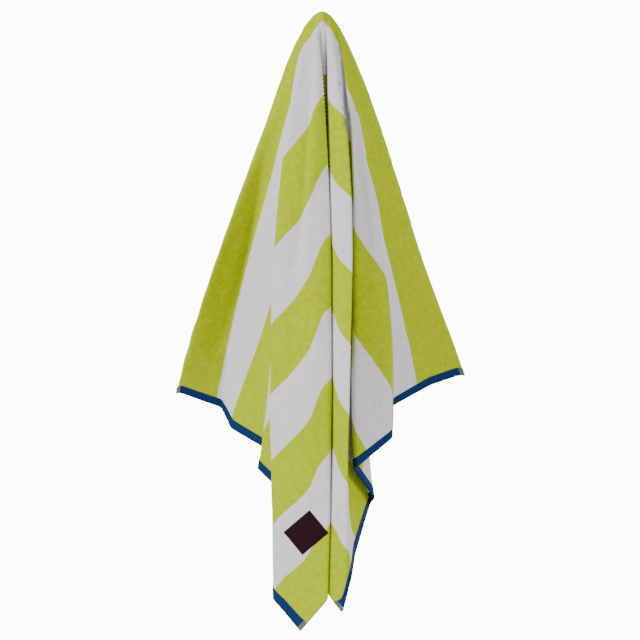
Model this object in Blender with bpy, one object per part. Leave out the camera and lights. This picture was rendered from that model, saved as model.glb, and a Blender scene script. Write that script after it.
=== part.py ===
"""Striped beach towel, hung from one point just inside the middle of a long edge.

Metres, +Z up, the towel's face towards -Y. The origin is the point of the peg
that carries the towel: the underside of the cloth at its peak.

The cloth is described flat and hung. Flat, u runs along the towel and v runs
down from the hanging point. Every fold is a line that runs out from the
hanging point to the cloth's edge, so a point of the cloth is also given by its
bearing (0 straight down, negative to the left) and by its reach, the share of
the way from the hanging point to the edge. FOLDS says where each fold line lies
in the flat cloth and where it hangs. The cloth between two lines is a panel.
"""

from collections import namedtuple
from math import atan2, cos, degrees, radians, sin

import bmesh
import bpy
import numpy as np
from mathutils import Vector
from mathutils.bvhtree import BVHTree

MM = 0.001

# The towel flat
LENGTH = 1.70
WIDTH = 0.90
THICK = 0.0025
PEG_FROM_LEFT = 0.868
PEG_FROM_TOP = 0.070

# The binding folded over each short end, and the sewn patch
BINDING_WIDTH = 0.016
BINDING_WALL = 0.001
PATCH_LONG = 0.066
PATCH_SHORT = 0.058
PATCH_THICK = 0.001
PATCH_FROM_END = 0.128
PATCH_FROM_EDGE = 0.139
PATCH_TURN = 15.0
PATCH_ROUNDS = 8
SEAT_GAP = 0.0003
END_INSET = 0.15
PATCH_SEAT = 0.0016
LOOK_ABOVE = 0.02

# How the cloth bends
PEAK_ROUND_FRONT = 0.012
PEAK_ROUND_SIDE = 0.036
PEAK_SLACK = 0.010
PEG_SPREAD = 0.044
PEG_FADE = 0.12
OPENING = 0.06
FOLD_ROUND = 0.020
FOLD_RINGS = ((0.0, 1), (0.45, 6), (0.9, 10))
FOLD_WEIGHT = 1.15
FOLD_TURN = 1.4
LEVELS_HUNG = (0.25, 0.65, 1.0)
NORMAL_STEP = 0.004

# The mesh
PANEL_STEP = 0.090
BESIDE_FOLD = (0.009, 0.019)
BESIDE_LIMIT = 0.35
REACHES = (0.03, 0.065, 0.105, 0.15, 0.21, 0.29, 0.38, 0.47, 0.56, 0.65, 0.74, 0.83, 0.92)
PATCH_CELLS = 8

LEFT = -PEG_FROM_LEFT
RIGHT = LENGTH - PEG_FROM_LEFT
TOP = -PEG_FROM_TOP
BOTTOM = WIDTH - PEG_FROM_TOP
LEFT_TOP = degrees(atan2(LEFT, TOP))
LEFT_BOTTOM = degrees(atan2(LEFT, BOTTOM))
RIGHT_TOP = degrees(atan2(RIGHT, TOP))
RIGHT_BOTTOM = degrees(atan2(RIGHT, BOTTOM))

# One row for each fold line, left to right in the cloth. "high" is a quarter of the way from the
# peg to the edge, "mid" 0.65 of it, and "foot" the edge itself. Bearings are in degrees. x is
# sideways, y is depth, negative to the front, and drop is below the peg, all in millimetres.
Fold = namedtuple("Fold", "name bearing_high bearing_foot x_high x_mid x_foot y_high y_mid y_foot drop")
FOLDS = [Fold(*row) for row in (
    #  name                  bearings              x high   mid  foot  y high   mid  foot   drop
    ("back_centre",         -180.0,        -180.0,         0,    0,    0,      10,   26,   38,     46),
    ("back_left",           -125.0,        -125.0,       -14,  -38,  -52,      11,   34,   50,     88),
    ("left_neck",           -103.0,        -103.0,       -38,  -84, -112,      24,   76,  130,    246),
    ("left_shoulder",        -97.5,         -97.5,       -64, -130, -196,      40,  136,  220,    450),
    ("left_corner",          -94.6,      LEFT_TOP,       -89, -221, -309,      52,  175,  290,    769),
    ("left_trough",          -89.0,         -87.0,       -84, -167, -213,      44,  208,  305,    803),
    ("left_flap_bend",       -82.0,         -80.4,       -64, -123, -190,      30,  160,  242,    845),
    ("left_flap_inner",      -79.0,         -74.3,       -57,  -90, -111,      22,  106,  195,    888),
    ("behind_a_first",       -75.5,         -71.2,       -60,  -74,  -90,      18,   80,  150,    902),
    ("behind_a_lobe",        -72.0,         -67.5,       -63,  -99, -133,      12,   58,  130,    922),
    ("behind_a_second",      -67.5,         -59.5,       -62,  -54,  -48,       4,    8,   20,    995),
    ("front_left_edge",      -61.5,         -49.6,       -74, -105,  -96,     -12,  -68, -118,   1164),
    ("front_left_valley",    -57.0,         -48.1,       -46,  -66,  -74,     -10,  -86, -140,   1184),
    ("front_left_ridge",     -50.5,   LEFT_BOTTOM,       -19,  -20,  -41,     -28,  -98, -160,   1221),
    ("crease_left",          -44.2,         -44.0,      15.5,   20,   14,     -12,  -82, -164,   1158),
    ("crease_left_wall",     -41.3,         -41.3,         1,    7,   -8,       4,  -36, -112,   1114),
    ("inner_left",           -22.0,         -22.5,       -36,  -66,  -88,      66,  150,  195,    866),
    ("inner_left_turn",      -19.0,         -19.0,       -24,  -38,  -58,      74,  172,  215,    850),
    ("inner_centre",           0.0,           0.0,         8,   12,   12,      40,   44,   10,    829),
    ("inner_right_turn",      19.0,          19.0,        30,   52,   62,      74,  172,  215,    850),
    ("inner_right",           22.0,          22.5,        46,   78,   92,      66,  150,  195,    866),
    ("crease_right_wall",     43.0,          41.6,        15,   19,    5,      12,  -22, -100,   1109),
    ("crease_right",          46.4,          44.2,        10,   20, 12.5,      -3,  -74, -157,   1154),
    ("front_right_corner",    48.4,  RIGHT_BOTTOM,        25,   34,   39,     -24,  -96, -176,   1184),
    ("front_right_ridge",     52.5,          47.3,        54,   56,   55,     -32, -112, -160,   1121),
    ("pleat_mouth",             57,          51.6,        38,   42,   64,     -10,  -30,  -50,   1084),
    ("pleat_back",            61.0,          57.0,        46,   77,   95,      23,   34,   36,    990),
    ("pleat_back_turn",       62.0,          58.2,        66,   86,  106,      24,   14,   12,    975),
    ("pleat_front_turn",      75.5,          65.2,        49,   60,   62,      -1,  -34,  -60,    912),
    ("pleat_front",           77.5,          66.3,        47,   64,   67,     -12,  -50,  -79,    909),
    ("side_right_edge",       83.0,          72.0,        68,  129,  139,       4,  -24,   -8,    855),
    ("right_flap_inner",      87.5,          83.6,        66,  131,  146,      22,   76,  170,    796),
    ("right_flap_bend",       92.0,          90.0,        79,  160,  227,      34,  120,  215,    753),
    ("right_corner",          95.4,     RIGHT_TOP,        93,  200,  298,      50,  158,  246,    730),
    ("right_shoulder",        97.5,          97.5,        62,  132,  190,      38,  118,  192,    448),
    ("right_neck",           103.0,         103.0,        38,   84,  112,      24,   72,  118,    246),
    ("back_right",           125.0,         125.0,        14,   38,   52,      11,   34,   50,     88),
    ("back_centre_again",    180.0,         180.0,         0,    0,    0,      10,   26,   38,     46),
)]


def edge_distance(bearing):
    """How far the cloth reaches from the hanging point on each bearing, in radians."""
    across = np.sin(bearing)
    down = np.cos(bearing)
    side = np.where(across < 0, LEFT, RIGHT) / np.where(np.abs(across) < 1e-9, 1e-9, across)
    end = np.where(down < 0, TOP, BOTTOM) / np.where(np.abs(down) < 1e-9, 1e-9, down)
    return np.minimum(np.abs(side), np.abs(end))


def fold_bearings(reach):
    """The bearing of every fold line at each reach: a line starts beside the peg, so it turns a little."""
    high = np.radians([fold.bearing_high for fold in FOLDS])
    foot = np.radians([fold.bearing_foot for fold in FOLDS])
    turn = (np.clip(1 - reach, 0, 1) / (1 - LEVELS_HUNG[0])) ** FOLD_TURN
    return foot + (high - foot) * turn[..., None]


def hung_columns():
    """For x and y of every fold, the cubic through the peg and the three levels."""
    levels = np.array(LEVELS_HUNG)
    powers = np.stack([levels, levels ** 2, levels ** 3], axis=1)
    sideways = np.array([(fold.x_high, fold.x_mid, fold.x_foot) for fold in FOLDS]).T * MM
    depth = np.array([(fold.y_high, fold.y_mid, fold.y_foot) for fold in FOLDS]).T * MM
    return np.linalg.solve(powers, sideways), np.linalg.solve(powers, depth)


SIDEWAYS, DEPTH = hung_columns()
DROPS = np.array([fold.drop for fold in FOLDS]) * MM


def facet_point(u, v):
    """Where a flat point hangs when every panel is flat and every fold is sharp."""
    bearing = np.arctan2(u, v)
    distance = np.hypot(u, v)
    edge = edge_distance(bearing)
    reach = distance / edge
    lines = fold_bearings(reach)
    panel = np.clip((lines <= bearing[..., None]).sum(axis=-1) - 1, 0, len(FOLDS) - 2)
    before = np.take_along_axis(lines, panel[..., None], axis=-1)[..., 0]
    after = np.take_along_axis(lines, panel[..., None] + 1, axis=-1)[..., 0]
    share = (bearing - before) / (after - before)
    powers = np.stack([reach, reach ** 2, reach ** 3])
    opened = 1 - np.exp(-distance / OPENING)
    rounding = PEAK_ROUND_FRONT + (PEAK_ROUND_SIDE - PEAK_ROUND_FRONT) * np.abs(np.sin(bearing))
    over_peg = PEG_SPREAD * (1 - np.exp(-distance / PEG_SPREAD)) * np.exp(-distance / PEG_FADE)
    spread = np.stack([np.sin(bearing) ** 3 * over_peg, -np.cos(bearing) * over_peg, 0 * over_peg], axis=-1)

    def along(line):
        x = (SIDEWAYS[:, line] * powers).sum(axis=0)
        y = (DEPTH[:, line] * powers).sum(axis=0)
        fallen = np.hypot(distance, rounding) - rounding + PEAK_SLACK * (1 - np.exp(-distance / PEG_SPREAD))
        whole = np.hypot(edge, rounding) - rounding + PEAK_SLACK * (1 - np.exp(-edge / PEG_SPREAD))
        return np.stack([x * opened, y * opened, -DROPS[line] * fallen / whole], axis=-1)

    return spread + along(panel) * (1 - share[..., None]) + along(panel + 1) * share[..., None]


def hang(u, v):
    """Where a flat point hangs, with each fold rounded over FOLD_ROUND either side."""
    total = np.zeros(np.shape(u) + (3,))
    weight = 0.0
    for ring, points in FOLD_RINGS:
        for step in range(points):
            turn = 2 * np.pi * (step + 0.25) / points
            share = (FOLD_WEIGHT - ring) / points
            du = ring * FOLD_ROUND * np.cos(turn)
            dv = ring * FOLD_ROUND * np.sin(turn)
            total += share * facet_point(u + du, v + dv)
            weight += share
    return total / weight


def cloth_frame(u, v):
    """The hung place of each flat point and the direction its face looks in."""
    along = hang(u + NORMAL_STEP, v) - hang(u - NORMAL_STEP, v)
    down = hang(u, v + NORMAL_STEP) - hang(u, v - NORMAL_STEP)
    normal = np.cross(down, along)
    normal /= np.linalg.norm(normal, axis=-1, keepdims=True)
    return hang(u, v), normal


def mesh_lines():
    """(panel, share) of each line of the mesh: a few close to every fold, the others spread between."""
    lines = []
    for panel in range(len(FOLDS) - 1):
        ends = np.radians([FOLDS[panel].bearing_foot, FOLDS[panel + 1].bearing_foot])
        reach = edge_distance(ends)
        feet = np.stack([reach * np.sin(ends), reach * np.cos(ends)], axis=1)
        width = np.linalg.norm(feet[1] - feet[0])
        close = [offset / width for offset in BESIDE_FOLD if offset < BESIDE_LIMIT * width]
        first = close[-1] if close else 0.0
        cells = max(1, int(np.ceil((1 - 2 * first) * width / PANEL_STEP)))
        between = [first + (1 - 2 * first) * cell / cells for cell in range(1, cells)]
        for along in [0.0] + close + between + [1 - along for along in reversed(close)]:
            foot = feet[0] * (1 - along) + feet[1] * along
            share = (atan2(foot[0], foot[1]) - ends[0]) / (ends[1] - ends[0])
            lines.append((panel, share if along > 0 else 0.0))
    return lines


def flat_point(line, reach):
    """The flat place of a mesh line at a reach."""
    panel, share = line
    bearings = fold_bearings(np.array(reach))
    bearing = bearings[panel] * (1 - share) + bearings[panel + 1] * share
    distance = reach * edge_distance(np.array(bearing))
    return distance * np.sin(bearing), distance * np.cos(bearing)


def fabric(name, colour, roughness):
    material = bpy.data.materials.new(name)
    material.use_nodes = True
    shader = material.node_tree.nodes["Principled BSDF"]
    shader.inputs["Base Color"].default_value = (*colour, 1.0)
    shader.inputs["Roughness"].default_value = roughness
    shader.inputs["Metallic"].default_value = 0.0
    return material


def add_object(name, bm, material):
    bmesh.ops.recalc_face_normals(bm, faces=bm.faces)
    mesh = bpy.data.meshes.new(name)
    bm.to_mesh(mesh)
    bm.free()
    mesh.shade_smooth()
    mesh.materials.append(material)
    obj = bpy.data.objects.new(name, mesh)
    bpy.context.scene.collection.objects.link(obj)
    return obj


def add_cell(bm, near_here, rim_here, rim_there, near_there):
    """Two triangles, split the same way everywhere, so cells that lie on each other stay apart."""
    bm.faces.new((near_here, rim_here, rim_there))
    bm.faces.new((near_here, rim_there, near_there))


def make_towel(material, peak):
    """The cloth: rings of cells around the hanging point, out to the edge, with a face and a back."""
    lines = mesh_lines()
    hem = 1 - BINDING_WIDTH / PEG_FROM_LEFT
    reaches = REACHES + (hem, 1.0)
    flat = np.array([[flat_point(line, reach) for line in lines] for reach in reaches])
    place, normal = cloth_frame(flat[..., 0], flat[..., 1])
    centre, up = cloth_frame(np.zeros(1), np.zeros(1))
    bm = bmesh.new()
    sides = []
    for side in (0.5, -0.5):
        shifted = place + normal * THICK * side - peak
        rings = [[bm.verts.new(point) for point in ring] for ring in shifted]
        middle = bm.verts.new(centre[0] + up[0] * THICK * side - peak)
        sides.append(rings)
        count = len(lines)
        for i in range(count):
            j = (i + 1) % count
            fan = (middle, rings[0][i], rings[0][j])
            bm.faces.new(fan if side > 0 else fan[::-1])
            for inner, outer in zip(rings, rings[1:]):
                add_cell(bm, inner[i], outer[i], outer[j], inner[j])
    front, back = sides[0][-1], sides[1][-1]
    for i in range(len(lines)):
        j = (i + 1) % len(lines)
        add_cell(bm, front[i], back[i], back[j], front[j])
    return add_object("towel", bm, material)


def make_binding(name, material, first, last, peak):
    """A tape folded over one short end, from the fold line of one corner to that of the other."""
    names = [fold.name for fold in FOLDS]
    start, end = names.index(first), names.index(last)
    lines = [line for line in mesh_lines() if start <= line[0] < end] + [(end, 0.0)]
    inner_reach = 1 - BINDING_WIDTH / PEG_FROM_LEFT
    near = np.array([flat_point(line, inner_reach) for line in lines])
    rim = np.array([flat_point(line, 1.0) for line in lines])
    near_place, near_normal = cloth_frame(near[:, 0], near[:, 1])
    rim_place, rim_normal = cloth_frame(rim[:, 0], rim[:, 1])
    outward = rim_place - near_place
    outward /= np.linalg.norm(outward, axis=1, keepdims=True)
    inner = THICK / 2 + SEAT_GAP
    outer = inner + BINDING_WALL
    lip = rim_place + outward * SEAT_GAP
    end_face = rim_place + outward * (SEAT_GAP + BINDING_WALL)
    ring = (near_place + near_normal * outer, end_face + rim_normal * outer,
            end_face - rim_normal * outer, near_place - near_normal * outer,
            near_place - near_normal * inner, lip - rim_normal * inner,
            lip + rim_normal * inner, near_place + near_normal * inner)
    ring = np.array(ring)
    ring[:, 0] += (ring[:, 1] - ring[:, 0]) * END_INSET
    ring[:, -1] += (ring[:, -2] - ring[:, -1]) * END_INSET
    bm = bmesh.new()
    stations = [[bm.verts.new(corner[i] - peak) for corner in ring] for i in range(len(lines))]
    for here, there in zip(stations, stations[1:]):
        for near, rim in ((0, 1), (1, 2), (3, 2), (3, 4), (4, 5), (6, 5), (7, 6), (7, 0)):
            add_cell(bm, here[near], here[rim], there[rim], there[near])
    for station in (stations[0], stations[-1]):
        for a, b, c, d in ((0, 1, 6, 7), (1, 2, 5, 6), (2, 3, 4, 5)):
            bm.faces.new((station[a], station[b], station[c], station[d]))
    return add_object(name, bm, material)


def patch_places(along, across):
    """The flat places under a patch that hangs as a true rectangle, turned a little off the stripes."""
    centre_u = np.full(np.shape(along), LEFT + PATCH_FROM_END)
    centre_v = np.full(np.shape(along), BOTTOM - PATCH_FROM_EDGE)
    centre, normal = cloth_frame(centre_u, centre_v)
    step = PATCH_SHORT / 4
    by_u = (hang(centre_u + step, centre_v) - hang(centre_u - step, centre_v)) / (2 * step)
    by_v = (hang(centre_u, centre_v + step) - hang(centre_u, centre_v - step)) / (2 * step)
    first = by_u / np.linalg.norm(by_u, axis=-1, keepdims=True)
    second = np.cross(first, normal)
    turn = radians(PATCH_TURN)
    wanted = np.stack([along * cos(turn) - across * sin(turn),
                       along * sin(turn) + across * cos(turn)], axis=-1)
    frame = np.stack([first, second], axis=-2)
    slopes = np.stack([(frame @ by_u[..., None])[..., 0], (frame @ by_v[..., None])[..., 0]], axis=-1)
    back = np.linalg.inv(slopes)
    u, v = centre_u + along, centre_v + across
    for _ in range(PATCH_ROUNDS):
        reached = (frame @ (hang(u, v) - centre)[..., None])[..., 0]
        change = (back @ (wanted - reached)[..., None])[..., 0]
        u, v = u + change[..., 0], v + change[..., 1]
    return u, v


def make_patch(material, towel, peak):
    """The sewn patch: a thin plate on the cloth's face, near the lower left corner."""
    cloth = BVHTree.FromPolygons([vertex.co for vertex in towel.data.vertices],
                                 [face.vertices for face in towel.data.polygons])
    share = np.linspace(-0.5, 0.5, PATCH_CELLS + 1)
    along, down = np.meshgrid(share * PATCH_LONG, share * PATCH_SHORT, indexing="ij")
    place, normal = cloth_frame(*patch_places(along, down))
    bm = bmesh.new()
    low, high = [], []
    for points, directions in zip(place - peak, normal):
        seats = [cloth.ray_cast(Vector(point + direction * LOOK_ABOVE), Vector(-direction))[0]
                 for point, direction in zip(points, directions)]
        low.append([bm.verts.new(seat + Vector(direction) * PATCH_SEAT)
                    for seat, direction in zip(seats, directions)])
        high.append([bm.verts.new(seat + Vector(direction) * (PATCH_SEAT + PATCH_THICK))
                     for seat, direction in zip(seats, directions)])
    for layer in (low, high):
        for row, following in zip(layer, layer[1:]):
            for k in range(PATCH_CELLS):
                bm.faces.new((row[k], row[k + 1], following[k + 1], following[k]))
    size = PATCH_CELLS
    loop = ([(k, 0) for k in range(size)] + [(size, k) for k in range(size)]
            + [(size - k, size) for k in range(size)] + [(0, size - k) for k in range(size)])
    for (a, b), (c, d) in zip(loop, loop[1:] + loop[:1]):
        bm.faces.new((low[a][b], low[c][d], high[c][d], high[a][b]))
    return add_object("patch", bm, material)


def main():
    for obj in list(bpy.data.objects):
        bpy.data.objects.remove(obj)
    velour = fabric("striped_velour", (0.60, 0.66, 0.08), 0.9)
    tape = fabric("blue_tape", (0.01, 0.07, 0.26), 0.75)
    leatherette = fabric("dark_patch", (0.04, 0.014, 0.02), 0.6)
    centre, up = cloth_frame(np.zeros(1), np.zeros(1))
    peak = centre[0] - up[0] * THICK / 2
    towel = make_towel(velour, peak)
    make_binding("binding_left", tape, "left_corner", "front_left_ridge", peak)
    make_binding("binding_right", tape, "front_right_corner", "right_corner", peak)
    make_patch(leatherette, towel, peak)


if __name__ == "__main__":
    main()
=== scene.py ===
"""Striped beach towel, hung from one point.

Velour cloth, tape bindings, a bare patch, bar-tacks and stitching.
"""

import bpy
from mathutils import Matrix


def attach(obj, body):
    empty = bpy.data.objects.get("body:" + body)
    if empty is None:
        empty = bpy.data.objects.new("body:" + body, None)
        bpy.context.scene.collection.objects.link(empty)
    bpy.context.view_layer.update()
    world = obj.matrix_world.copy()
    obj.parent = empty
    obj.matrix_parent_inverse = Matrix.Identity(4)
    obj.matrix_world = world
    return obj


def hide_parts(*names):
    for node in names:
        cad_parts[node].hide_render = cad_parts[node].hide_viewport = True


bl_info = {
    "name": "Hung striped beach towel",
    "version": (1, 0, 0),
    "blender": (4, 5, 0),
    "location": "3D View > Sidebar > Towel",
    "description": "A striped velour beach towel hung from one point, with bindings and patch",
    "category": "Add Mesh",
}

from collections import namedtuple
from math import atan2, cos, degrees, pi, radians, sin

import bmesh
import bpy
import numpy as np
from bpy.props import FloatProperty, FloatVectorProperty, IntProperty, PointerProperty
from mathutils import Matrix, Vector, noise

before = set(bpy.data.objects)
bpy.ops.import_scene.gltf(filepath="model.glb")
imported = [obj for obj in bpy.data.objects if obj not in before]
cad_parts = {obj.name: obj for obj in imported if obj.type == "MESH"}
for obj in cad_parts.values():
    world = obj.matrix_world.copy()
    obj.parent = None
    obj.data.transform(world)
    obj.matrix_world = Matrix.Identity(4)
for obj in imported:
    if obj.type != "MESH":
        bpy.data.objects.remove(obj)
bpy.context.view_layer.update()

MM = 0.001

# The towel flat: u runs along it and v runs down, both from the hanging point
LENGTH = 1.70
WIDTH = 0.90
THICK = 0.0025
PEG_FROM_LEFT = 0.868
PEG_FROM_TOP = 0.070
LEFT = -PEG_FROM_LEFT
RIGHT = LENGTH - PEG_FROM_LEFT
TOP = -PEG_FROM_TOP
BOTTOM = WIDTH - PEG_FROM_TOP
LEFT_TOP = degrees(atan2(LEFT, TOP))
LEFT_BOTTOM = degrees(atan2(LEFT, BOTTOM))
RIGHT_TOP = degrees(atan2(RIGHT, TOP))
RIGHT_BOTTOM = degrees(atan2(RIGHT, BOTTOM))

# How the cloth bends
PEAK_ROUND_FRONT = 0.012
PEAK_ROUND_SIDE = 0.036
PEAK_SLACK = 0.010
PEG_SPREAD = 0.044
PEG_FADE = 0.12
OPENING = 0.06
FOLD_ROUND = 0.020
FOLD_RINGS = ((0.0, 1), (0.45, 6), (0.9, 10))  # share of FOLD_ROUND, and points on that ring
FOLD_WEIGHT = 1.15
FOLD_TURN = 1.4
LEVELS_HUNG = (0.25, 0.65, 1.0)
NORMAL_STEP = 0.004

# The patch
PATCH_LONG = 0.066
PATCH_SHORT = 0.058
PATCH_FROM_END = 0.128
PATCH_FROM_EDGE = 0.139
PATCH_TURN = 15.0
PATCH_ROUNDS = 8

# One row for each fold line, left to right in the cloth. "high" is a quarter of the way from the
# peg to the edge, "mid" 0.65 of it, and "foot" the edge itself. Bearings are in degrees. x is
# sideways, y is depth, negative to the front, and drop is below the peg, all in millimetres.
Fold = namedtuple("Fold", "name bearing_high bearing_foot "
                          "x_high x_mid x_foot y_high y_mid y_foot drop")
FOLDS = [Fold(*row) for row in (
    #  name               bearings                    x high mid  foot y high  mid foot  drop
    ("back_centre",         -180.0,       -180.0,    0,    0,    0,   10,   26,   38,   46),
    ("back_left",           -125.0,       -125.0,  -14,  -38,  -52,   11,   34,   50,   88),
    ("left_neck",           -103.0,       -103.0,  -38,  -84, -112,   24,   76,  130,  246),
    ("left_shoulder",        -97.5,        -97.5,  -64, -130, -196,   40,  136,  220,  450),
    ("left_corner",          -94.6,     LEFT_TOP,  -89, -221, -309,   52,  175,  290,  769),
    ("left_trough",          -89.0,        -87.0,  -84, -167, -213,   44,  208,  305,  803),
    ("left_flap_bend",       -82.0,        -80.4,  -64, -123, -190,   30,  160,  242,  845),
    ("left_flap_inner",      -79.0,        -74.3,  -57,  -90, -111,   22,  106,  195,  888),
    ("behind_a_first",       -75.5,        -71.2,  -60,  -74,  -90,   18,   80,  150,  902),
    ("behind_a_lobe",        -72.0,        -67.5,  -63,  -99, -133,   12,   58,  130,  922),
    ("behind_a_second",      -67.5,        -59.5,  -62,  -54,  -48,    4,    8,   20,  995),
    ("front_left_edge",      -61.5,        -49.6,  -74, -105,  -96,  -12,  -68, -118, 1164),
    ("front_left_valley",    -57.0,        -48.1,  -46,  -66,  -74,  -10,  -86, -140, 1184),
    ("front_left_ridge",     -50.5,  LEFT_BOTTOM,  -19,  -20,  -41,  -28,  -98, -160, 1221),
    ("crease_left",          -44.2,        -44.0, 15.5,   20,   14,  -12,  -82, -164, 1158),
    ("crease_left_wall",     -41.3,        -41.3,    1,    7,   -8,    4,  -36, -112, 1114),
    ("inner_left",           -22.0,        -22.5,  -36,  -66,  -88,   66,  150,  195,  866),
    ("inner_left_turn",      -19.0,        -19.0,  -24,  -38,  -58,   74,  172,  215,  850),
    ("inner_centre",           0.0,          0.0,    8,   12,   12,   40,   44,   10,  829),
    ("inner_right_turn",      19.0,         19.0,   30,   52,   62,   74,  172,  215,  850),
    ("inner_right",           22.0,         22.5,   46,   78,   92,   66,  150,  195,  866),
    ("crease_right_wall",     43.0,         41.6,   15,   19,    5,   12,  -22, -100, 1109),
    ("crease_right",          46.4,         44.2,   10,   20, 12.5,   -3,  -74, -157, 1154),
    ("front_right_corner",    48.4, RIGHT_BOTTOM,   25,   34,   39,  -24,  -96, -176, 1184),
    ("front_right_ridge",     52.5,         47.3,   54,   56,   55,  -32, -112, -160, 1121),
    ("pleat_mouth",             57,         51.6,   38,   42,   64,  -10,  -30,  -50, 1084),
    ("pleat_back",            61.0,         57.0,   46,   77,   95,   23,   34,   36,  990),
    ("pleat_back_turn",       62.0,         58.2,   66,   86,  106,   24,   14,   12,  975),
    ("pleat_front_turn",      75.5,         65.2,   49,   60,   62,   -1,  -34,  -60,  912),
    ("pleat_front",           77.5,         66.3,   47,   64,   67,  -12,  -50,  -79,  909),
    ("side_right_edge",       83.0,         72.0,   68,  129,  139,    4,  -24,   -8,  855),
    ("right_flap_inner",      87.5,         83.6,   66,  131,  146,   22,   76,  170,  796),
    ("right_flap_bend",       92.0,         90.0,   79,  160,  227,   34,  120,  215,  753),
    ("right_corner",          95.4,    RIGHT_TOP,   93,  200,  298,   50,  158,  246,  730),
    ("right_shoulder",        97.5,         97.5,   62,  132,  190,   38,  118,  192,  448),
    ("right_neck",           103.0,        103.0,   38,   84,  112,   24,   72,  118,  246),
    ("back_right",           125.0,        125.0,   14,   38,   52,   11,   34,   50,   88),
    ("back_centre_again",    180.0,        180.0,    0,    0,    0,   10,   26,   38,   46),
)]

# Soft dents and ridges that the fold lines leave out: from one flat point to another, in
# millimetres along (u) and down (v) the cloth, with half width and height; minus sinks in.
Crease = namedtuple("Crease", "name u_start v_start u_end v_end half_width height")
CREASES = [Crease(*row) for row in (
    #  name                 u start  v start   u end  v end   half width  height
    ("cap_pleat_left",          -10,       0,    -62,    40,          5,   -3.6),
    ("cap_pleat_middle",         12,       5,     44,    56,          5,   -3.6),
    ("cap_pleat_right",          30,       8,     95,    52,          5,   -3.6),
    ("cap_pleat_left_side",     -40,       4,   -130,    14,          6,   -3.6),
    ("front_valley",            -58,      38,   -390,   292,         10,  -10.5),
    ("front_valley_low",       -300,     217,   -570,   462,         14,   -6.0),
    ("front_soft_dent",        -250,     212,   -520,   455,         12,   -5.5),
    ("front_right_streak",       64,      49,    200,   142,          8,   -6.0),
    ("side_right_streak",       240,      46,    480,   130,         10,   -7.0),
    ("left_flap_trough",       -180,      35,   -770,     6,         20,  -12.0),
    ("left_white_streak",      -330,      36,   -650,    62,         10,   -5.5),
    ("right_flap_trough",       200,      50,    720,    -4,         18,  -11.0),
    ("flap_pucker_left",       -640,      60,   -845,    78,         14,    2.2),
    ("flap_pucker_low",        -700,     150,   -850,   205,         13,    2.0),
    ("flap_pucker_right",       640,      20,    812,    24,         13,    2.2),
    ("flap_pucker_inner",       660,      70,    815,    98,         12,    1.8),
)]
RIPPLE_HEIGHT = 0.0013
RIPPLE_SIZE = 0.085


def edge_distance(bearing):
    """How far the cloth reaches from the hanging point on each bearing. Bearings are in radians."""
    across = np.sin(bearing)
    down = np.cos(bearing)
    side = np.where(across < 0, LEFT, RIGHT) / np.where(np.abs(across) < 1e-9, 1e-9, across)
    end = np.where(down < 0, TOP, BOTTOM) / np.where(np.abs(down) < 1e-9, 1e-9, down)
    return np.minimum(np.abs(side), np.abs(end))


def fold_bearings(reach):
    """The bearing of every fold line at each reach.

    A line starts beside the peg, so it turns a little on its way to the edge.
    """
    high = np.radians([fold.bearing_high for fold in FOLDS])
    foot = np.radians([fold.bearing_foot for fold in FOLDS])
    turn = (np.clip(1 - reach, 0, 1) / (1 - LEVELS_HUNG[0])) ** FOLD_TURN
    return foot + (high - foot) * turn[..., None]


def hung_columns():
    """For x and y of every fold, the cubic through the peg and the three levels."""
    levels = np.array(LEVELS_HUNG)
    powers = np.stack([levels, levels ** 2, levels ** 3], axis=1)
    sideways = np.array([(fold.x_high, fold.x_mid, fold.x_foot) for fold in FOLDS]).T * MM
    depth = np.array([(fold.y_high, fold.y_mid, fold.y_foot) for fold in FOLDS]).T * MM
    return np.linalg.solve(powers, sideways), np.linalg.solve(powers, depth)


SIDEWAYS, DEPTH = hung_columns()
DROPS = np.array([fold.drop for fold in FOLDS]) * MM


def let_down(distance, rounding):
    """How far the cloth has come down at a distance from the peg that rounds it."""
    slack = PEAK_SLACK * (1 - np.exp(-distance / PEG_SPREAD))
    return np.hypot(distance, rounding) - rounding + slack


def facet_point(u, v):
    """Where a flat point hangs when every panel is flat and every fold is sharp."""
    bearing = np.arctan2(u, v)
    distance = np.hypot(u, v)
    edge = edge_distance(bearing)
    reach = distance / edge
    lines = fold_bearings(reach)
    panel = np.clip((lines <= bearing[..., None]).sum(axis=-1) - 1, 0, len(FOLDS) - 2)
    before = np.take_along_axis(lines, panel[..., None], axis=-1)[..., 0]
    after = np.take_along_axis(lines, panel[..., None] + 1, axis=-1)[..., 0]
    share = (bearing - before) / (after - before)
    powers = np.stack([reach, reach ** 2, reach ** 3])
    opened = 1 - np.exp(-distance / OPENING)
    rounding = PEAK_ROUND_FRONT + (PEAK_ROUND_SIDE - PEAK_ROUND_FRONT) * np.abs(np.sin(bearing))
    fallen = let_down(distance, rounding)
    whole = let_down(edge, rounding)
    over_peg = PEG_SPREAD * (1 - np.exp(-distance / PEG_SPREAD)) * np.exp(-distance / PEG_FADE)
    spread = np.stack([np.sin(bearing) ** 3 * over_peg, -np.cos(bearing) * over_peg,
                       0 * over_peg], axis=-1)

    def along(line):
        x = (SIDEWAYS[:, line] * powers).sum(axis=0)
        y = (DEPTH[:, line] * powers).sum(axis=0)
        return np.stack([x * opened, y * opened, -DROPS[line] * fallen / whole], axis=-1)

    return spread + along(panel) * (1 - share[..., None]) + along(panel + 1) * share[..., None]


def hang(u, v):
    """Where a flat point hangs, with each fold rounded over FOLD_ROUND either side."""
    total = np.zeros(np.shape(u) + (3,))
    weight = 0.0
    for ring, points in FOLD_RINGS:
        for step in range(points):
            turn = 2 * np.pi * (step + 0.25) / points
            share = (FOLD_WEIGHT - ring) / points
            du = ring * FOLD_ROUND * np.cos(turn)
            dv = ring * FOLD_ROUND * np.sin(turn)
            total += share * facet_point(u + du, v + dv)
            weight += share
    return total / weight


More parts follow.
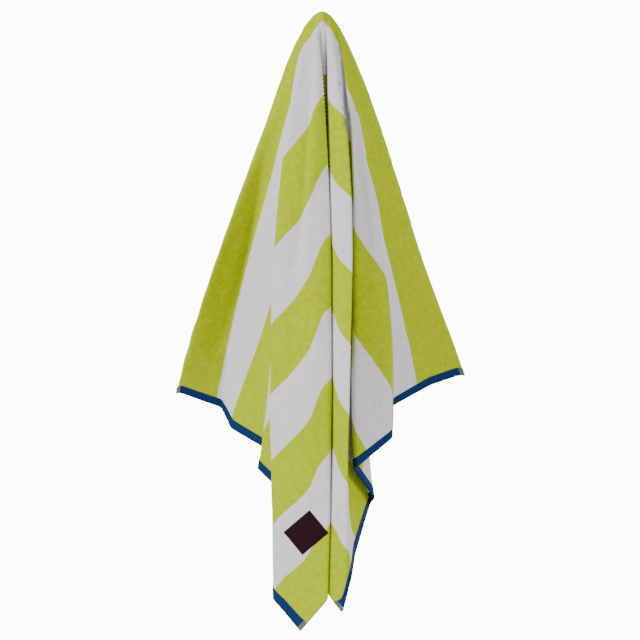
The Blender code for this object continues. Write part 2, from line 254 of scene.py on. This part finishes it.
def smooth_frame(u, v):
    """The hung place of each flat point on the smooth folds, and the way its face looks."""
    along = hang(u + NORMAL_STEP, v) - hang(u - NORMAL_STEP, v)
    down = hang(u, v + NORMAL_STEP) - hang(u, v - NORMAL_STEP)
    normal = np.cross(down, along)
    normal /= np.linalg.norm(normal, axis=-1, keepdims=True)
    return hang(u, v), normal


def peak_point():
    """The underside of the cloth over the peg, which is the origin."""
    place, normal = smooth_frame(np.zeros(1), np.zeros(1))
    return place[0] - normal[0] * THICK / 2


PEAK = peak_point()


def relief(u, v):
    """How far the creases and the slight waviness of the velour lift each flat point."""
    lift = np.zeros(np.shape(u))
    for crease in CREASES:
        start = np.array([crease.u_start, crease.v_start]) * MM
        line = np.array([crease.u_end, crease.v_end]) * MM - start
        length = np.hypot(*line)
        ahead = ((u - start[0]) * line[0] + (v - start[1]) * line[1]) / length ** 2
        beside = ((u - start[0]) * line[1] - (v - start[1]) * line[0]) / length
        fade = np.clip(ahead, 0, 1) * np.clip(1 - ahead, 0, 1) * 4  # 1 halfway along
        profile = np.exp(-(beside / (crease.half_width * MM)) ** 2)
        lift += crease.height * MM * np.sqrt(fade) * profile
    flat_points = zip(np.ravel(u), np.ravel(v))
    waves = [noise.noise((a / RIPPLE_SIZE, b / RIPPLE_SIZE, 0.5)) for a, b in flat_points]
    near_peg = 1 - np.exp(-np.hypot(u, v) / PEG_FADE)
    return lift + RIPPLE_HEIGHT * np.reshape(waves, np.shape(u)) * near_peg


def cloth_points(u, v, height=0.0):
    """Points on the cloth at flat places u, v, raised by height from the cloth's middle."""
    place, normal = smooth_frame(u, v)
    return place + normal * (relief(u, v) + height)[..., None] - PEAK


# Making pieces

def flat_grid(columns, rows):
    """A bmesh grid over the unit square, with a UV map."""
    bm = bmesh.new()
    bm.loops.layers.uv.new("flat")
    bmesh.ops.create_grid(bm, x_segments=columns, y_segments=rows, size=0.5, calc_uvs=True)
    bmesh.ops.translate(bm, verts=bm.verts, vec=(0.5, 0.5, 0.0))
    return bm


def map_flat(bm):
    """Gives every corner of the grid its own place, from 0 to 1 both ways, as its UV."""
    layer = bm.loops.layers.uv["flat"]
    for face in bm.faces:
        for loop in face.loops:
            loop[layer].uv = (loop.vert.co.x, loop.vert.co.y)


def shares(bm):
    """The grid's own places, from 0 to 1 both ways."""
    places = np.array([vert.co[:2] for vert in bm.verts])
    return places[:, 0], places[:, 1]


def put(bm, points):
    """Moves every vertex to its point."""
    for vert, point in zip(bm.verts, points):
        vert.co = point


def add_piece(name, bm, material):
    """A piece at the origin that rides on the part."""
    mesh = bpy.data.meshes.new(name)
    bm.normal_update()
    bm.to_mesh(mesh)
    bm.free()
    mesh.shade_smooth()
    mesh.materials.append(material)
    piece = bpy.data.objects.new(name, mesh)
    bpy.context.scene.collection.objects.link(piece)
    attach(piece, "root")
    return piece


def give_wall(piece, thickness, offset):
    """A Solidify modifier. offset -1 is behind the face, 0 both sides of it, and 1 before it."""
    wall = piece.modifiers.new("wall", "SOLIDIFY")
    wall.thickness = thickness
    wall.offset = offset
    wall.use_quality_normals = True
    return wall


# Materials: each look's numbers, as factors, sizes in metres or noise scales

# The two stripe shade factors, and the contrast and level after them, paint shade into the pile's
# low clumps
VELOUR = {"roughness": 0.92, "sheen": 0.02, "sheen_roughness": 0.6, "specular": 0.05,
          "clump_size": 90.0, "strand_size": 700.0, "clump_share": 0.55, "stripe_fuzz": 0.006,
          "lime_shade": 0.80, "white_shade": 0.86, "pile_shade_contrast": 2.2, "pile_shade_level": -0.55,
          "pile": 0.0012, "pile_strength": 0.55}
# The tape's low and high shades are painted shade in the weave's grooves and a painted highlight on
# its threads
TAPE = {"roughness": 0.7, "specular": 0.15, "ribs": 900.0, "threads": 26.0,
        "low_shade": 0.7, "high_shade": 1.2, "weave": 0.0003, "weave_strength": 0.5}
LEATHER = {"roughness": 0.62, "specular": 0.1, "pore_size": 900.0, "mottle_size": 60.0,
           "low_shade": 0.75, "high_shade": 1.3, "grain": 0.0003, "grain_strength": 0.35}
THREAD = {"roughness": 0.65, "specular": 0.2, "blue_shade": 0.8, "maroon_shade": 0.9}


def node(tree, kind, place, **settings):
    """A new shader node with its settings."""
    made = tree.nodes.new(kind)
    made.location = place
    for key, value in settings.items():
        setattr(made, key, value)
    return made


def calculate(tree, operation, first, second, place, clamp=False):
    """A Math node, its inputs numbers or sockets."""
    made = node(tree, "ShaderNodeMath", place, operation=operation, use_clamp=clamp)
    for socket, value in zip(made.inputs, (first, second)):
        if isinstance(value, (int, float)):
            socket.default_value = value
        else:
            tree.links.new(value, socket)
    return made.outputs[0]


def shade_of(colour, factor):
    """A colour made darker or lighter."""
    return tuple(factor * channel for channel in colour)


def tufts_group():
    """Clumps and strands of cotton pile: a painted shade from the clumps that changes over the
    cloth, and its height.
    """
    name = "cotton_tufts"
    if name in bpy.data.node_groups:
        return bpy.data.node_groups[name]
    group = bpy.data.node_groups.new(name, "ShaderNodeTree")
    face = group.interface
    for socket, default in (("Clump size", 120.0), ("Strand size", 900.0), ("Clump share", 0.5)):
        made = face.new_socket(socket, in_out="INPUT", socket_type="NodeSocketFloat")
        made.default_value = default
    face.new_socket("Vector", in_out="INPUT", socket_type="NodeSocketVector")
    face.new_socket("Shade", in_out="OUTPUT", socket_type="NodeSocketFloat")
    face.new_socket("Height", in_out="OUTPUT", socket_type="NodeSocketFloat")
    inside = node(group, "NodeGroupInput", (-700, 0))
    out = node(group, "NodeGroupOutput", (500, 0))
    clumps = node(group, "ShaderNodeTexNoise", (-400, 150))
    clumps.inputs["Detail"].default_value = 3.0
    strands = node(group, "ShaderNodeTexNoise", (-400, -150))
    strands.inputs["Detail"].default_value = 2.0
    group.links.new(inside.outputs["Vector"], clumps.inputs["Vector"])
    group.links.new(inside.outputs["Vector"], strands.inputs["Vector"])
    group.links.new(inside.outputs["Clump size"], clumps.inputs["Scale"])
    group.links.new(inside.outputs["Strand size"], strands.inputs["Scale"])
    blend = node(group, "ShaderNodeMix", (0, 0), data_type="FLOAT")
    group.links.new(inside.outputs["Clump share"], blend.inputs["Factor"])
    group.links.new(strands.outputs["Fac"], blend.inputs["A"])
    group.links.new(clumps.outputs["Fac"], blend.inputs["B"])
    group.links.new(clumps.outputs["Fac"], out.inputs["Shade"])
    group.links.new(blend.outputs["Result"], out.inputs["Height"])
    return group


def weave_group():
    """Plain woven tape: fine ribs across and threads along, as a height, also used for painted
    shade.
    """
    name = "tape_weave"
    if name in bpy.data.node_groups:
        return bpy.data.node_groups[name]
    group = bpy.data.node_groups.new(name, "ShaderNodeTree")
    face = group.interface
    for socket, default in (("Ribs", 400.0), ("Threads", 12.0)):
        made = face.new_socket(socket, in_out="INPUT", socket_type="NodeSocketFloat")
        made.default_value = default
    face.new_socket("Vector", in_out="INPUT", socket_type="NodeSocketVector")
    face.new_socket("Height", in_out="OUTPUT", socket_type="NodeSocketFloat")
    inside = node(group, "NodeGroupInput", (-900, 0))
    out = node(group, "NodeGroupOutput", (300, 0))
    split = node(group, "ShaderNodeSeparateXYZ", (-700, 0))
    group.links.new(inside.outputs["Vector"], split.inputs["Vector"])
    along = calculate(group, "MULTIPLY", split.outputs["X"], inside.outputs["Ribs"], (-500, 100))
    across = calculate(group, "MULTIPLY", split.outputs["Y"], inside.outputs["Threads"],
                       (-500, -100))
    rib = calculate(group, "PINGPONG", along, 1.0, (-300, 100))
    thread = calculate(group, "PINGPONG", across, 1.0, (-300, -100))
    height = calculate(group, "MULTIPLY", rib, thread, (-100, 0))
    group.links.new(height, out.inputs["Height"])
    return group


def new_material(name, colour, roughness):
    """A material with its plain values on the shader's own sockets."""
    material = bpy.data.materials.new(name)
    material.use_nodes = True
    shader = material.node_tree.nodes["Principled BSDF"]
    shader.inputs["Base Color"].default_value = (*colour, 1.0)
    shader.inputs["Roughness"].default_value = roughness
    shader.inputs["Metallic"].default_value = 0.0
    return material, material.node_tree, shader


def add_bump(tree, shader, height, distance, strength=1.0):
    """A Bump node from a height socket to the shader."""
    bump = node(tree, "ShaderNodeBump", (-250, -350))
    bump.inputs["Distance"].default_value = distance
    bump.inputs["Strength"].default_value = strength
    tree.links.new(height, bump.inputs["Height"])
    tree.links.new(bump.outputs["Normal"], shader.inputs["Normal"])


def tinted(tree, low, high, factor, place):
    """A colour between two, by a factor socket."""
    mix = node(tree, "ShaderNodeMix", place, data_type="RGBA")
    tree.links.new(factor, mix.inputs["Factor"])
    for socket, colour in ((mix.inputs["A"], low), (mix.inputs["B"], high)):
        if isinstance(colour, bpy.types.NodeSocket):
            tree.links.new(colour, socket)
        else:
            socket.default_value = (*colour, 1.0)
    return mix.outputs["Result"]


def velour_material(sizes):
    """Cotton velour in two colours, striped along the towel by its flat map, with painted pile
    shade.
    """
    lime = tuple(sizes.lime)
    white = tuple(sizes.white)
    material, tree, shader = new_material("striped_velour", lime, VELOUR["roughness"])
    shader.inputs["Sheen Weight"].default_value = VELOUR["sheen"]
    shader.inputs["Sheen Roughness"].default_value = VELOUR["sheen_roughness"]
    shader.inputs["Specular IOR Level"].default_value = VELOUR["specular"]
    flat = node(tree, "ShaderNodeUVMap", (-1900, 0), uv_map="flat")
    place = node(tree, "ShaderNodeTexCoord", (-1900, -300))
    tufts = node(tree, "ShaderNodeGroup", (-1500, -300), node_tree=tufts_group())
    tufts.inputs["Clump size"].default_value = VELOUR["clump_size"]
    tufts.inputs["Strand size"].default_value = VELOUR["strand_size"]
    tufts.inputs["Clump share"].default_value = VELOUR["clump_share"]
    tree.links.new(place.outputs["Object"], tufts.inputs["Vector"])
    split = node(tree, "ShaderNodeSeparateXYZ", (-1700, 0))
    tree.links.new(flat.outputs["UV"], split.inputs["Vector"])
    fuzz = calculate(tree, "SUBTRACT", tufts.outputs["Height"], 0.5, (-1300, 100))
    fuzz = calculate(tree, "MULTIPLY", fuzz, VELOUR["stripe_fuzz"], (-1150, 100))
    down = calculate(tree, "ADD", split.outputs["Y"], fuzz, (-1000, 0))
    count = calculate(tree, "MULTIPLY", down, float(sizes.stripes), (-850, 0))
    number = calculate(tree, "FLOOR", count, 0.0, (-700, 150))
    odd = calculate(tree, "MODULO", number, 2.0, (-550, 150), clamp=True)
    stripe = tinted(tree, lime, white, odd, (-400, 150))
    # Painted shade: a darker copy of each stripe colour, mixed in where the pile's clumps are low
    shaded = tinted(tree, shade_of(lime, VELOUR["lime_shade"]),
                    shade_of(white, VELOUR["white_shade"]), odd, (-400, -50))
    pile_hollow_shade = calculate(tree, "MULTIPLY_ADD", tufts.outputs["Shade"], VELOUR["pile_shade_contrast"],
                     (-550, -150), clamp=True)
    pile_hollow_shade.node.inputs[2].default_value = VELOUR["pile_shade_level"]
    tree.links.new(tinted(tree, shaded, stripe, pile_hollow_shade, (-200, 100)), shader.inputs["Base Color"])
    add_bump(tree, shader, tufts.outputs["Height"], VELOUR["pile"], VELOUR["pile_strength"])
    return material


def tape_material(sizes):
    """Blue woven tape, with painted shade in the weave's grooves and a painted highlight on its
    threads.
    """
    blue = tuple(sizes.tape)
    material, tree, shader = new_material("blue_tape", blue, TAPE["roughness"])
    shader.inputs["Specular IOR Level"].default_value = TAPE["specular"]
    flat = node(tree, "ShaderNodeUVMap", (-1100, 0), uv_map="flat")
    weave = node(tree, "ShaderNodeGroup", (-850, 0), node_tree=weave_group())
    weave.inputs["Ribs"].default_value = TAPE["ribs"]
    weave.inputs["Threads"].default_value = TAPE["threads"]
    tree.links.new(flat.outputs["UV"], weave.inputs["Vector"])
    # Painted shade in the weave's grooves and a painted highlight on its raised threads, by the
    # weave's height
    colour = tinted(tree, shade_of(blue, TAPE["low_shade"]), shade_of(blue, TAPE["high_shade"]),
                    weave.outputs["Height"], (-500, 100))
    tree.links.new(colour, shader.inputs["Base Color"])
    add_bump(tree, shader, weave.outputs["Height"], TAPE["weave"], TAPE["weave_strength"])
    return material


def patch_material(sizes):
    """Matt imitation leather."""
    dark = tuple(sizes.patch)
    material, tree, shader = new_material("dark_patch", dark, LEATHER["roughness"])
    shader.inputs["Specular IOR Level"].default_value = LEATHER["specular"]
    place = node(tree, "ShaderNodeTexCoord", (-1100, 0))
    pores = node(tree, "ShaderNodeTexVoronoi", (-850, -100))
    pores.inputs["Scale"].default_value = LEATHER["pore_size"]
    tree.links.new(place.outputs["Object"], pores.inputs["Vector"])
    mottle = node(tree, "ShaderNodeTexNoise", (-850, 150))
    mottle.inputs["Scale"].default_value = LEATHER["mottle_size"]
    tree.links.new(place.outputs["Object"], mottle.inputs["Vector"])
    colour = tinted(tree, shade_of(dark, LEATHER["low_shade"]),
                    shade_of(dark, LEATHER["high_shade"]), mottle.outputs["Fac"], (-500, 150))
    tree.links.new(colour, shader.inputs["Base Color"])
    add_bump(tree, shader, pores.outputs["Distance"], LEATHER["grain"],
             LEATHER["grain_strength"])
    return material


def thread_material(name, colour):
    """Sewing thread."""
    material, _, shader = new_material(name, tuple(colour), THREAD["roughness"])
    shader.inputs["Specular IOR Level"].default_value = THREAD["specular"]
    return material


# Pieces. Lengths are in metres unless a note says otherwise.

BINDING_FINENESS = 1.6          # cells along the tape for each cell of the cloth
BINDING_ROUND = 14              # cells around the tape
BINDING_LIP = 0.14              # share of each half of the tape that turns over the hem
BINDING_BULGE = 0.8             # how far the turn stands past the hem, in seats
SEAM_START = 0.004              # share of the hem left bare at each end
SEAM_FROM_EDGE = 0.0022         # in from the tape's inner edge
SEAM_STITCH = 0.72              # length of a stitch, in pitches
SEAM_RADIUS = 0.00035
PATCH_CELLS = (26, 22)
PATCH_RIM = 0.0025              # width of the rounded edge
PATCH_LIFT = 0.0006             # the rim's height above the cloth
PATCH_CROWN = 0.0005            # how much higher the middle is than the rim
PATCH_TOP = 0.0011              # the plate's thickness, and the height of its top
PATCH_SEAM_INSET = 0.0030
PATCH_STITCH = 0.7              # length of a stitch, in pitches
PATCH_STITCH_RADIUS = 0.0003
TACK_ROWS = 9
TACK_SPOTS = 8                  # points along each row
TACK_START = 0.0006             # first row, in from the selvedge
TACK_PITCH = 0.0010             # from row to row
TACK_PAST_TAPE = 0.0005         # how far a row runs past the tape
TACK_LIFT = 0.0001
TACK_STITCHES = 6.4             # stitch lengths in the tape's width
TACK_RADIUS = 0.00055
SHORTEST_STITCH = 1e-6


def make_towel(sizes):
    """The cloth, one grid in its flat size hung by the fold lines, with the velour's thickness."""
    cell = sizes.cell
    bm = flat_grid(round(LENGTH / cell), round(WIDTH / cell))
    along, down = shares(bm)
    map_flat(bm)
    put(bm, cloth_points(LEFT + along * LENGTH, TOP + down * WIDTH))
    bmesh.ops.reverse_faces(bm, faces=bm.faces)
    towel = add_piece("towel_cloth", bm, velour_material(sizes))
    give_wall(towel, THICK, 0.0)
    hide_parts("towel")
    return towel


def binding_points(edge, along, round_it, sizes):
    """Points of a tape folded over a short end.

    round_it runs 0 to 1 from its inner edge on the face, over the hem, to that on the back.
    """
    inward = 1 if edge < 0 else -1
    swing = 2 * round_it - 1
    bend = np.clip(np.abs(swing) / BINDING_LIP, 0, 1) * pi / 2
    seat = THICK / 2 + sizes.seat
    beyond_lip = (np.abs(swing) - BINDING_LIP) / (1 - BINDING_LIP) * sizes.tape_width
    inset = np.where(np.abs(swing) < BINDING_LIP, 0.0, beyond_lip)
    height = -np.sign(swing) * np.sin(bend) * seat
    past = np.cos(bend) * seat * BINDING_BULGE
    u = edge + inward * inset
    v = TOP + along * WIDTH
    place, normal = smooth_frame(u, v)
    outward, _ = smooth_frame(u - inward * 2 * NORMAL_STEP, v)
    outward = outward - place
    outward /= np.linalg.norm(outward, axis=-1, keepdims=True)
    return place + normal * (relief(u, v) + height)[..., None] + outward * past[..., None] - PEAK


def make_binding(name, edge, material, sizes):
    """Blue tape over one short end, from selvedge to selvedge."""
    bm = flat_grid(round(WIDTH / sizes.cell * BINDING_FINENESS), BINDING_ROUND)
    along, round_it = shares(bm)
    map_flat(bm)
    put(bm, binding_points(edge, along, round_it, sizes))
    if edge < 0:
        bmesh.ops.reverse_faces(bm, faces=bm.faces)
    binding = add_piece(name, bm, material)
    give_wall(binding, sizes.tape_wall, 1.0)
    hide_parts(name.replace("_tape", ""))
    return binding


def stitch_row(bm, points, normals, length, radius):
    """A stitch at each point but the last, laid towards the next one."""
    for here, there, normal in zip(points, points[1:], normals):
        ahead = Vector(there - here)
        if ahead.length < SHORTEST_STITCH:
            continue
        ahead.normalize()
        up = Vector(normal).normalized()
        side = up.cross(ahead).normalized()
        turn = Matrix((ahead, side, side.cross(-ahead))).transposed().to_4x4()
        made = bmesh.ops.create_icosphere(bm, subdivisions=1, radius=1.0)
        scale = Matrix.Diagonal((length / 2, radius, radius, 1.0))
        place = Matrix.Translation(Vector(here) + ahead * length / 2)
        bmesh.ops.transform(bm, matrix=place @ turn @ scale, verts=made["verts"])


def make_binding_stitching(material, sizes):
    """The seam that holds each tape, on the face and on the back."""
    bm = bmesh.new()
    count = round(WIDTH / sizes.stitch_pitch)
    v = TOP + np.linspace(SEAM_START, 1 - SEAM_START, count) * WIDTH
    for edge in (LEFT, RIGHT):
        inward = 1 if edge < 0 else -1
        u = np.full(count, edge + inward * (sizes.tape_width - SEAM_FROM_EDGE))
        place, normal = smooth_frame(u, v)
        for side in (1, -1):
            rise = relief(u, v) + side * (THICK / 2 + sizes.seat + sizes.tape_wall)
            points = place + normal * rise[..., None] - PEAK
            stitch_row(bm, points, normal * side, sizes.stitch_pitch * SEAM_STITCH, SEAM_RADIUS)
    return add_piece("binding_stitching", bm, material)


def patch_places(along, across):
    """The flat places under a patch that hangs as a true rectangle, a little off the stripes."""
    centre_u = np.full(np.shape(along), LEFT + PATCH_FROM_END)
    centre_v = np.full(np.shape(along), BOTTOM - PATCH_FROM_EDGE)
    centre, normal = smooth_frame(centre_u, centre_v)
    step = PATCH_SHORT / 4
    by_u = (hang(centre_u + step, centre_v) - hang(centre_u - step, centre_v)) / (2 * step)
    by_v = (hang(centre_u, centre_v + step) - hang(centre_u, centre_v - step)) / (2 * step)
    first = by_u / np.linalg.norm(by_u, axis=-1, keepdims=True)
    second = np.cross(first, normal)
    turn = radians(PATCH_TURN)
    wanted = np.stack([along * cos(turn) - across * sin(turn),
                       along * sin(turn) + across * cos(turn)], axis=-1)
    axes = np.stack([first, second], axis=-2)
    slopes = np.stack([(axes @ by_u[..., None])[..., 0],
                       (axes @ by_v[..., None])[..., 0]], axis=-1)
    back = np.linalg.inv(slopes)
    u, v = centre_u + along, centre_v + across
    for _ in range(PATCH_ROUNDS):
        reached = (axes @ (hang(u, v) - centre)[..., None])[..., 0]
        change = (back @ (wanted - reached)[..., None])[..., 0]
        u, v = u + change[..., 0], v + change[..., 1]
    return u, v


def make_patch(material):
    """The bare patch: a thin plate that follows the cloth, with rounded corners and edge."""
    bm = flat_grid(*PATCH_CELLS)
    along, down = shares(bm)
    along = (along - 0.5) * PATCH_LONG
    down = (down - 0.5) * PATCH_SHORT
    u, v = patch_places(along, down)
    from_edge = np.minimum(PATCH_LONG / 2 - np.abs(along), PATCH_SHORT / 2 - np.abs(down))
    rim = np.clip(from_edge / PATCH_RIM, 0, 1)
    height = THICK / 2 + PATCH_LIFT + PATCH_CROWN * np.sqrt(rim)
    put(bm, cloth_points(u, v, height))
    bmesh.ops.reverse_faces(bm, faces=bm.faces)
    patch = add_piece("patch_plate", bm, material)
    give_wall(patch, PATCH_TOP, -1.0)
    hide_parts("patch")
    return patch


def make_patch_stitching(material, sizes):
    """The row of stitches just inside the patch's edge."""
    bm = bmesh.new()
    half_u = PATCH_LONG / 2 - PATCH_SEAM_INSET
    half_v = PATCH_SHORT / 2 - PATCH_SEAM_INSET
    corners = [(-half_u, -half_v), (half_u, -half_v), (half_u, half_v), (-half_u, half_v)]
    for start, end in zip(corners, corners[1:] + corners[:1]):
        start, end = np.array(start), np.array(end)
        count = round(float(np.hypot(*(end - start))) / sizes.stitch_pitch)
        spots = start + (end - start) * np.linspace(0, 1, count + 1)[:, None]
        u, v = patch_places(spots[:, 0], spots[:, 1])
        place, normal = smooth_frame(u, v)
        rise = relief(u, v) + THICK / 2 + PATCH_TOP
        stitch_row(bm, place + normal * rise[..., None] - PEAK, normal,
                   sizes.stitch_pitch * PATCH_STITCH, PATCH_STITCH_RADIUS)
    return add_piece("patch_stitching", bm, material)


def make_bar_tacks(material, sizes):
    """The dense thread over both ends of each tape: rows of stitches across it, face and back."""
    bm = bmesh.new()
    spots = np.linspace(0.0, 1.0, TACK_SPOTS)
    for edge in (LEFT, RIGHT):
        inward = 1 if edge < 0 else -1
        u = edge + inward * spots * (sizes.tape_width + TACK_PAST_TAPE)
        for end in (TOP, BOTTOM):
            into = 1 if end == TOP else -1
            for row in range(TACK_ROWS):
                v = np.full(TACK_SPOTS, end + into * (TACK_START + row * TACK_PITCH))
                place, normal = smooth_frame(u, v)
                for side in (1, -1):
                    over_tape = THICK / 2 + sizes.seat + sizes.tape_wall + TACK_LIFT
                    rise = relief(u, v) + side * over_tape
                    points = place + normal * rise[..., None] - PEAK
                    stitch_row(bm, points, normal * side, sizes.tape_width / TACK_STITCHES,
                               TACK_RADIUS)
    return add_piece("corner_bar_tacks", bm, material)


# Stage

CAMERA_DISTANCE = 5.0
SENSOR = 36.0
FRAME_WIDTH = 1.28
LOOK_AT = Vector((-0.004, 0.0, -0.616))
FLOOR_RADIUS = 1.4
FLOOR_HEIGHT = -1.45
FLOOR_SIDES = 96
FLOOR_COLOUR = (0.85, 0.85, 0.85)
FLOOR_ROUGHNESS = 0.9
WORLD_LIGHT = 0.45
BACKDROP = 12.0

# name, place, size in metres and power in watts of each light
LIGHTS = (
    ("key", (-3.0, -2.0, 1.2), 1.2, 160.0),
    ("fill", (3.0, -2.2, 0.4), 1.4, 70.0),
    ("back", (2.6, 3.0, 0.8), 1.6, 60.0),
)


def make_floor():
    """A pale round floor, far enough below the towel to stay out of the photograph's frame."""
    bm = bmesh.new()
    bmesh.ops.create_circle(bm, cap_ends=True, segments=FLOOR_SIDES, radius=FLOOR_RADIUS)
    bmesh.ops.translate(bm, verts=bm.verts, vec=(0.0, 0.0, FLOOR_HEIGHT))
    mesh = bpy.data.meshes.new("floor")
    bm.to_mesh(mesh)
    bm.free()
    material, _, _ = new_material("pale_floor", FLOOR_COLOUR, FLOOR_ROUGHNESS)
    mesh.materials.append(material)
    floor = bpy.data.objects.new("floor", mesh)
    bpy.context.scene.collection.objects.link(floor)


def make_world(light, backdrop):
    """Even white light from all round, seen behind the towel as a brighter white backdrop."""
    world = bpy.data.worlds.new("studio")
    world.use_nodes = True
    tree = world.node_tree
    around = tree.nodes["Background"]
    around.inputs["Color"].default_value = (1.0, 1.0, 1.0, 1.0)
    around.inputs["Strength"].default_value = light
    behind = node(tree, "ShaderNodeBackground", (0, -200))
    behind.inputs["Color"].default_value = (1.0, 1.0, 1.0, 1.0)
    behind.inputs["Strength"].default_value = backdrop
    seen = node(tree, "ShaderNodeLightPath", (0, 300))
    mix = node(tree, "ShaderNodeMixShader", (250, 0))
    tree.links.new(seen.outputs["Is Camera Ray"], mix.inputs[0])
    tree.links.new(around.outputs[0], mix.inputs[1])
    tree.links.new(behind.outputs[0], mix.inputs[2])
    tree.links.new(mix.outputs[0], tree.nodes["World Output"].inputs["Surface"])
    return world


def add_light(name, place, size, power):
    """A large soft light that looks at the towel's middle."""
    light = bpy.data.lights.new(name, "AREA")
    light.shape = "SQUARE"
    light.size = size
    light.energy = power
    lamp = bpy.data.objects.new(name, light)
    lamp.location = place
    lamp.rotation_euler = (LOOK_AT - Vector(place)).to_track_quat("-Z", "Y").to_euler()
    bpy.context.scene.collection.objects.link(lamp)


def add_camera():
    """The photograph's camera: level, square on, and far enough away to flatten the view."""
    camera = bpy.data.cameras.new("camera")
    camera.sensor_width = SENSOR
    camera.lens = SENSOR * CAMERA_DISTANCE / FRAME_WIDTH
    rig = bpy.data.objects.new("camera", camera)
    rig.location = LOOK_AT - Vector((0.0, CAMERA_DISTANCE, 0.0))
    rig.rotation_euler = (radians(90), 0.0, 0.0)
    bpy.context.scene.collection.objects.link(rig)
    bpy.context.scene.camera = rig


# Operators

class TowelSizes(bpy.types.PropertyGroup):
    """Sizes and colours of the towel."""
    cell: FloatProperty(name="Cell", description="Size of the cloth's mesh cells, measured flat",
                        default=0.0057, min=0.004, max=0.05, unit="LENGTH")
    stripes: IntProperty(name="Stripes", description="How many stripes run along the towel",
                         default=9, min=1)
    lime: FloatVectorProperty(name="Lime", description="Colour of the outer stripes",
                              subtype="COLOR", size=3, min=0.0, max=1.0,
                              default=(0.51, 0.62, 0.0))
    white: FloatVectorProperty(name="White", description="Colour of the stripes between",
                               subtype="COLOR", size=3, min=0.0, max=1.0,
                               default=(0.86, 0.82, 0.86))
    tape: FloatVectorProperty(name="Tape", description="Colour of the bindings", subtype="COLOR",
                              size=3, min=0.0, max=1.0, default=(0.001, 0.032, 0.15))
    patch: FloatVectorProperty(name="Patch", description="Colour of the patch", subtype="COLOR",
                               size=3, min=0.0, max=1.0, default=(0.018, 0.003, 0.007))
    tack: FloatVectorProperty(name="Bar-tack", description="Colour of the corner thread",
                              subtype="COLOR", size=3, min=0.0, max=1.0,
                              default=(0.30, 0.33, 0.22))
    tape_width: FloatProperty(name="Tape width", description="Width of the tape on each side",
                              default=0.016, min=0.004, max=0.05, unit="LENGTH")
    tape_wall: FloatProperty(name="Tape wall", description="Thickness of the tape",
                             default=0.0008, min=0.0002, max=0.003, unit="LENGTH")
    seat: FloatProperty(name="Seat", description="Gap between the cloth and the tape",
                        default=0.0003, min=0.0, max=0.002, unit="LENGTH")
    stitch_pitch: FloatProperty(name="Stitch pitch", description="Length of one stitch and its gap",
                                default=0.0032, min=0.001, max=0.01, unit="LENGTH")


class TOWEL_OT_cloth(bpy.types.Operator):
    """Hang the striped velour"""
    bl_idname = "towel.cloth"
    bl_label = "Cloth"

    def execute(self, context):
        make_towel(context.scene.towel_sizes)
        return {"FINISHED"}


class TOWEL_OT_bindings(bpy.types.Operator):
    """Fold a blue tape over each short end, with its seam"""
    bl_idname = "towel.bindings"
    bl_label = "Bindings"

    def execute(self, context):
        sizes = context.scene.towel_sizes
        tape = tape_material(sizes)
        make_binding("binding_left_tape", LEFT, tape, sizes)
        make_binding("binding_right_tape", RIGHT, tape, sizes)
        seam = thread_material("blue_thread", shade_of(sizes.tape, THREAD["blue_shade"]))
        make_binding_stitching(seam, sizes)
        return {"FINISHED"}


class TOWEL_OT_bar_tacks(bpy.types.Operator):
    """Sew the dense thread over the ends of both tapes"""
    bl_idname = "towel.bar_tacks"
    bl_label = "Corner bar-tacks"

    def execute(self, context):
        sizes = context.scene.towel_sizes
        make_bar_tacks(thread_material("grey_green_thread", sizes.tack), sizes)
        return {"FINISHED"}


class TOWEL_OT_patch(bpy.types.Operator):
    """Sew the bare patch on near the lower left corner"""
    bl_idname = "towel.patch"
    bl_label = "Patch"

    def execute(self, context):
        sizes = context.scene.towel_sizes
        make_patch(patch_material(sizes))
        thread = thread_material("maroon_thread", shade_of(sizes.patch, THREAD["maroon_shade"]))
        make_patch_stitching(thread, sizes)
        return {"FINISHED"}


class TOWEL_OT_declare(bpy.types.Operator):
    """Does nothing and returns at once"""
    bl_idname = "towel.declare"
    bl_label = "Declare the sheet"

    def execute(self, context):
        return {"FINISHED"}


class TOWEL_OT_stage(bpy.types.Operator):
    """Pale floor, soft lights, and the camera at the photograph's angle"""
    bl_idname = "towel.stage"
    bl_label = "Stage"

    def execute(self, context):
        make_floor()
        for light in LIGHTS:
            add_light(*light)
        add_camera()
        context.scene.world = make_world(WORLD_LIGHT, BACKDROP)
        return {"FINISHED"}


class TOWEL_PT_panel(bpy.types.Panel):
    """The towel's pieces and sizes"""
    bl_idname = "TOWEL_PT_panel"
    bl_label = "Hung towel"
    bl_space_type = "VIEW_3D"
    bl_region_type = "UI"
    bl_category = "Towel"

    def draw(self, context):
        sizes = context.scene.towel_sizes
        for name in sizes.bl_rna.properties.keys():
            if name not in ("rna_type", "name"):
                self.layout.prop(sizes, name)
        for step in STEPS:
            self.layout.operator(step.bl_idname)


STEPS = (TOWEL_OT_stage, TOWEL_OT_cloth, TOWEL_OT_bindings, TOWEL_OT_bar_tacks, TOWEL_OT_patch,
         TOWEL_OT_declare)
CLASSES = (TowelSizes, *STEPS, TOWEL_PT_panel)


def register():
    for item in CLASSES:
        bpy.utils.register_class(item)
    bpy.types.Scene.towel_sizes = PointerProperty(type=TowelSizes)


def unregister():
    del bpy.types.Scene.towel_sizes
    for item in reversed(CLASSES):
        bpy.utils.unregister_class(item)


def main():
    register()
    bpy.ops.towel.stage()
    bpy.ops.towel.cloth()
    bpy.ops.towel.bindings()
    bpy.ops.towel.bar_tacks()
    bpy.ops.towel.patch()
    bpy.ops.towel.declare()


if __name__ == "__main__":
    main()
